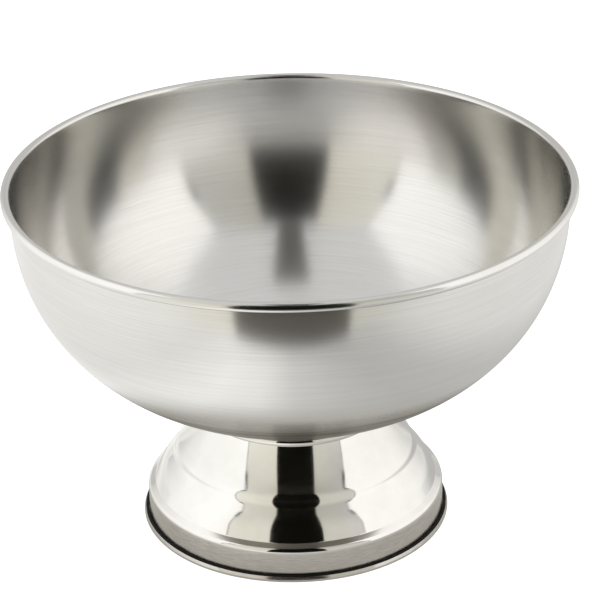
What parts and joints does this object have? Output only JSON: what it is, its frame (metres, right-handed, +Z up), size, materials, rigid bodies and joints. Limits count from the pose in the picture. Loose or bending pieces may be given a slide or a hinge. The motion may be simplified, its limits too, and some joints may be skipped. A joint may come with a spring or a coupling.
{
  "type": "pedestal ice bucket",
  "caption": "Wide stainless ice bowl with a rolled rim, bolted onto a hollow polished pedestal foot that stands on a base ring.",
  "frame": {"origin": "centre of the base, on the surface that the foot stands on", "axes": "+Z up along the axis of the bowl and foot, +X and +Y across it"},
  "size_m": [0.4, 0.4, 0.2599],
  "materials": {
    "satin_steel": "satin, brushed in circles",
    "polished_steel": "mirror polished",
    "plain_steel": "plain mill finish",
    "black_rubber": "matte black"
  },
  "bodies": {
    "root": {"bowl": "satin_steel", "pedestal_foot": "polished_steel", "base_ring": "polished_steel", "base_seal_ring": "black_rubber", "seat_gasket": "black_rubber", "boss_plate": "plain_steel", "mounting_stud": "plain_steel"},
    "washers": {"clamp_washer": "plain_steel", "spring_washer": "plain_steel"},
    "wing_nut": {"wing_nut": "plain_steel"}
  },
  "joints": [
    {"name": "nut_travel", "type": "slide", "parent": "root", "child": "washers", "axis": [0, 0, 1], "range_m": [-0.015, 0]},
    {"name": "nut_turn", "type": "hinge", "parent": "washers", "child": "wing_nut", "pos_m": [0, 0, 0.08], "axis": [0, 0, 1], "range_deg": [-4320, 0]}
  ],
  "couplings": [
    {"joint": "nut_turn", "follows": "nut_travel", "rad_per_m": 5026.5}
  ]
}
